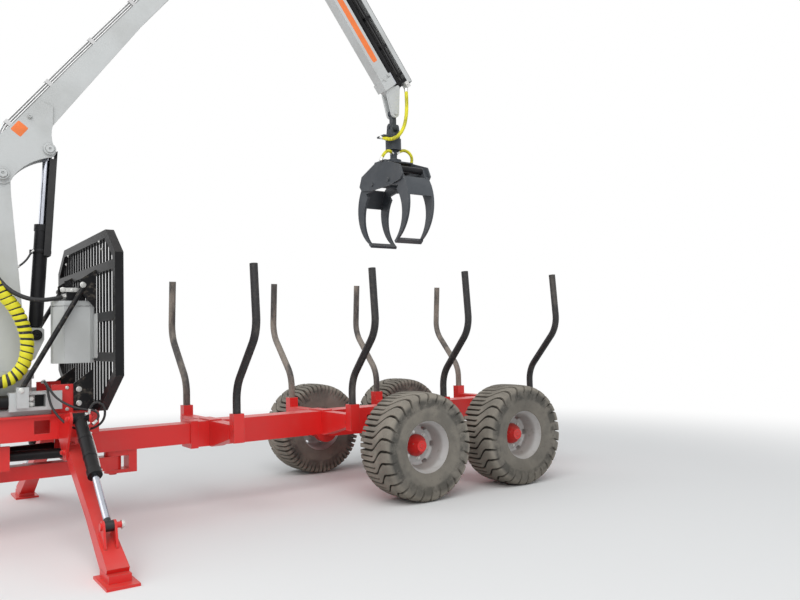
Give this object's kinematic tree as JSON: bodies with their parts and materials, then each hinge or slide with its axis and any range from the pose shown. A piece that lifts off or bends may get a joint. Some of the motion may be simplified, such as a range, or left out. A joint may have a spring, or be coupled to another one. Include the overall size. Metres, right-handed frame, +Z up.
{
  "type": "forestry trailer",
  "caption": "Tandem-bogie forestry trailer with stakes, headboard, steering drawbar, support legs and a loading crane with a grapple.",
  "frame": {"origin": "on the ground, at the centre of the trailer's box seen from above", "axes": "+X towards the drawbar eye, +Y to the trailer's left side, +Z up"},
  "size_m": [6.2, 3.38, 5.5542],
  "materials": {
    "red_paint": "satin",
    "grey_paint": "satin",
    "dark_paint": "satin",
    "black_paint": "satin",
    "worn_stake": "worn",
    "chrome_rod": "polished",
    "tyre": "dusty",
    "wheel_paint": "satin",
    "steel_pipe": "brushed",
    "lamp": "gloss"
  },
  "bodies": {
    "chassis": {"main_beam": "red_paint", "axle_mount": "red_paint", "bunks": "red_paint", "stakes": "worn_stake", "headboard": "black_paint", "front_frame": "red_paint", "crane_base": "grey_paint", "slew_cylinders": "black_paint", "control_box": "grey_paint", "control_valve": "black_paint", "lamps": "lamp", "headboard_stays": "black_paint", "leg_brackets": "red_paint", "steer_brackets": "red_paint"},
    "drawbar": {"drawbar": "red_paint", "drawbar_tray": "red_paint"},
    "steer_barrel_left": {"steer_barrel_left": "black_paint"},
    "steer_rod_left": {"steer_rod_left": "chrome_rod"},
    "steer_barrel_right": {"steer_barrel_right": "black_paint"},
    "steer_rod_right": {"steer_rod_right": "chrome_rod"},
    "leg_left": {"leg_left": "red_paint"},
    "leg_barrel_left": {"leg_barrel_left": "black_paint"},
    "leg_rod_left": {"leg_rod_left": "chrome_rod"},
    "leg_right": {"leg_right": "red_paint"},
    "leg_barrel_right": {"leg_barrel_right": "black_paint"},
    "leg_rod_right": {"leg_rod_right": "chrome_rod"},
    "bogie_left": {"bogie_left": "red_paint"},
    "wheel_left_front": {"tyre_left_front": "tyre", "wheel_left_front": "wheel_paint"},
    "wheel_left_rear": {"tyre_left_rear": "tyre", "wheel_left_rear": "wheel_paint"},
    "bogie_right": {"bogie_right": "red_paint"},
    "wheel_right_front": {"tyre_right_front": "tyre", "wheel_right_front": "wheel_paint"},
    "wheel_right_rear": {"tyre_right_rear": "tyre", "wheel_right_rear": "wheel_paint"},
    "column": {"column": "grey_paint"},
    "boom": {"boom": "grey_paint", "boom_pipes": "steel_pipe"},
    "stick": {"stick": "grey_paint", "extension_barrel": "black_paint"},
    "extension": {"extension": "grey_paint", "extension_rod": "chrome_rod"},
    "lift_barrel": {"lift_barrel": "black_paint"},
    "lift_rod": {"lift_rod": "chrome_rod"},
    "jib_barrel": {"jib_barrel": "black_paint"},
    "jib_rod": {"jib_rod": "chrome_rod"},
    "tip_link": {"tip_link": "dark_paint"},
    "rotator": {"rotator": "dark_paint"},
    "grapple_frame": {"grapple_frame": "dark_paint"},
    "jaw_left": {"jaw_left": "dark_paint"},
    "jaw_right": {"jaw_right": "dark_paint"},
    "grapple_barrel": {"grapple_barrel": "black_paint"},
    "grapple_rod": {"grapple_rod": "chrome_rod"}
  },
  "joints": [
    {"name": "drawbar_turn", "type": "hinge", "parent": "chassis", "child": "drawbar", "pos_m": [1.02, 0, 0.44], "axis": [0, 0, 1], "range_deg": [-20, 20]},
    {"name": "steer_left_tilt", "type": "hinge", "parent": "chassis", "child": "steer_barrel_left", "pos_m": [1.36, 0.208, 0.575], "axis": [0, 0, 1], "range_deg": [-29.01, 29.01]},
    {"name": "steer_left_stroke", "type": "slide", "parent": "steer_barrel_left", "child": "steer_rod_left", "axis": [0.9853, -0.171, 0], "range_m": [-0.0887, 0.0887]},
    {"name": "steer_right_tilt", "type": "hinge", "parent": "chassis", "child": "steer_barrel_right", "pos_m": [1.36, -0.208, 0.575], "axis": [0, 0, 1], "range_deg": [-29.01, 29.01]},
    {"name": "steer_right_stroke", "type": "slide", "parent": "steer_barrel_right", "child": "steer_rod_right", "axis": [0.9853, 0.171, 0], "range_m": [-0.0887, 0.0887]},
    {"name": "leg_raise_left", "type": "hinge", "parent": "chassis", "child": "leg_left", "pos_m": [1.39, 0.48, 0.612], "axis": [1, 0, 0], "range_deg": [0, 65]},
    {"name": "leg_left_tilt", "type": "hinge", "parent": "chassis", "child": "leg_barrel_left", "pos_m": [1.39, 0.64, 0.846], "axis": [1, 0, 0], "range_deg": [-0.5, 78.16]},
    {"name": "leg_left_stroke", "type": "slide", "parent": "leg_barrel_left", "child": "leg_rod_left", "axis": [0, 0.7906, -0.6124], "range_m": [-0.2517, 0.002]},
    {"name": "leg_raise_right", "type": "hinge", "parent": "chassis", "child": "leg_right", "pos_m": [1.39, -0.48, 0.612], "axis": [-1, 0, 0], "range_deg": [0, 65]},
    {"name": "leg_right_tilt", "type": "hinge", "parent": "chassis", "child": "leg_barrel_right", "pos_m": [1.39, -0.64, 0.846], "axis": [-1, 0, 0], "range_deg": [-0.5, 78.16]},
    {"name": "leg_right_stroke", "type": "slide", "parent": "leg_barrel_right", "child": "leg_rod_right", "axis": [0, -0.7906, -0.6124], "range_m": [-0.2517, 0.002]},
    {"name": "bogie_rock_left", "type": "hinge", "parent": "chassis", "child": "bogie_left", "pos_m": [-1.7, 0.545, 0.44], "axis": [0, 1, 0], "range_deg": [-15, 15]},
    {"name": "wheel_spin_left_front", "type": "hinge", "parent": "bogie_left", "child": "wheel_left_front", "pos_m": [-1.1675, 0.8885, 0.44], "axis": [0, 1, 0], "continuous": true},
    {"name": "wheel_spin_left_rear", "type": "hinge", "parent": "bogie_left", "child": "wheel_left_rear", "pos_m": [-2.2325, 0.8885, 0.44], "axis": [0, 1, 0], "continuous": true},
    {"name": "bogie_rock_right", "type": "hinge", "parent": "chassis", "child": "bogie_right", "pos_m": [-1.7, -0.545, 0.44], "axis": [0, 1, 0], "range_deg": [-15, 15]},
    {"name": "wheel_spin_right_front", "type": "hinge", "parent": "bogie_right", "child": "wheel_right_front", "pos_m": [-1.1675, -0.8885, 0.44], "axis": [0, 1, 0], "continuous": true},
    {"name": "wheel_spin_right_rear", "type": "hinge", "parent": "bogie_right", "child": "wheel_right_rear", "pos_m": [-2.2325, -0.8885, 0.44], "axis": [0, 1, 0], "continuous": true},
    {"name": "slew", "type": "hinge", "parent": "chassis", "child": "column", "pos_m": [1.77, 0, 1.1], "axis": [0, 0, 1], "range_deg": [-190, 190]},
    {"name": "boom_lift", "type": "hinge", "parent": "column", "child": "boom", "pos_m": [1.779, 0, 2.547], "axis": [0, 1, 0], "range_deg": [-25, 22]},
    {"name": "lift_tilt", "type": "hinge", "parent": "column", "child": "lift_barrel", "pos_m": [1.557, 0, 1.409], "axis": [0, -1, 0], "range_deg": [-3.83, 4.29]},
    {"name": "lift_stroke", "type": "slide", "parent": "lift_barrel", "child": "lift_rod", "axis": [-0.0612, 0, 0.9981], "range_m": [-0.1299, 0.1146]},
    {"name": "stick_fold", "type": "hinge", "parent": "boom", "child": "stick", "pos_m": [-0.367, 0, 5.362], "axis": [0, 1, 0], "range_deg": [-43, 71]},
    {"name": "jib_tilt", "type": "hinge", "parent": "boom", "child": "jib_barrel", "pos_m": [0.64728, 0, 4.31193], "axis": [0, -1, 0], "range_deg": [-2.08, 3.12]},
    {"name": "jib_stroke", "type": "slide", "parent": "jib_barrel", "child": "jib_rod", "axis": [-0.5851, 0, 0.811], "range_m": [-0.2163, 0.1318]},
    {"name": "extension_slide", "type": "slide", "parent": "stick", "child": "extension", "axis": [-0.5962, 0, -0.8028], "range_m": [0, 1.2]},
    {"name": "link_swing", "type": "hinge", "parent": "extension", "child": "tip_link", "pos_m": [-1.63027, 0, 3.50503], "axis": [0, 1, 0], "range_deg": [-70, 70]},
    {"name": "side_swing", "type": "hinge", "parent": "tip_link", "child": "rotator", "pos_m": [-1.63027, 0, 3.37003], "axis": [1, 0, 0], "range_deg": [-35, 35]},
    {"name": "rotator_turn", "type": "hinge", "parent": "rotator", "child": "grapple_frame", "pos_m": [-1.63027, 0, 3.14503], "axis": [0, 0, 1], "continuous": true},
    {"name": "jaw_open", "type": "hinge", "parent": "grapple_frame", "child": "jaw_left", "pos_m": [-1.63027, 0.14, 2.82003], "axis": [1, 0, 0], "range_deg": [-7, 38]},
    {"name": "jaw_open_right", "type": "hinge", "parent": "grapple_frame", "child": "jaw_right", "pos_m": [-1.63027, -0.14, 2.82003], "axis": [-1, 0, 0], "range_deg": [-7.5, 38.5]},
    {"name": "grapple_tilt", "type": "hinge", "parent": "jaw_left", "child": "grapple_barrel", "pos_m": [-1.63027, 0.27, 2.90003], "axis": [1, 0, 0], "range_deg": [-38.5, 7.5]},
    {"name": "grapple_stroke", "type": "slide", "parent": "grapple_barrel", "child": "grapple_rod", "axis": [0, -1, 0], "range_m": [-0.1537, 0.0299]}
  ],
  "couplings": [
    {"joint": "steer_left_tilt", "follows": "drawbar_turn", "ratio": 1.4255},
    {"joint": "steer_left_stroke", "follows": "drawbar_turn", "m_per_rad": -0.2484},
    {"joint": "steer_right_tilt", "follows": "drawbar_turn", "ratio": 1.4255},
    {"joint": "steer_right_stroke", "follows": "drawbar_turn", "m_per_rad": 0.2484},
    {"joint": "leg_left_tilt", "follows": "leg_raise_left", "ratio": 1.1947},
    {"joint": "leg_left_stroke", "follows": "leg_raise_left", "m_per_rad": -0.22013},
    {"joint": "leg_right_tilt", "follows": "leg_raise_right", "ratio": 1.1947},
    {"joint": "leg_right_stroke", "follows": "leg_raise_right", "m_per_rad": -0.22013},
    {"joint": "lift_tilt", "follows": "boom_lift", "ratio": -0.15148},
    {"joint": "lift_stroke", "follows": "boom_lift", "m_per_rad": 0.29321},
    {"joint": "jib_tilt", "follows": "stick_fold", "ratio": 0.03683},
    {"joint": "jib_stroke", "follows": "stick_fold", "m_per_rad": -0.17292},
    {"joint": "jaw_open_right", "follows": "jaw_open", "ratio": 1},
    {"joint": "grapple_tilt", "follows": "jaw_open", "ratio": -1},
    {"joint": "grapple_stroke", "follows": "jaw_open", "m_per_rad": -0.22875}
  ]
}
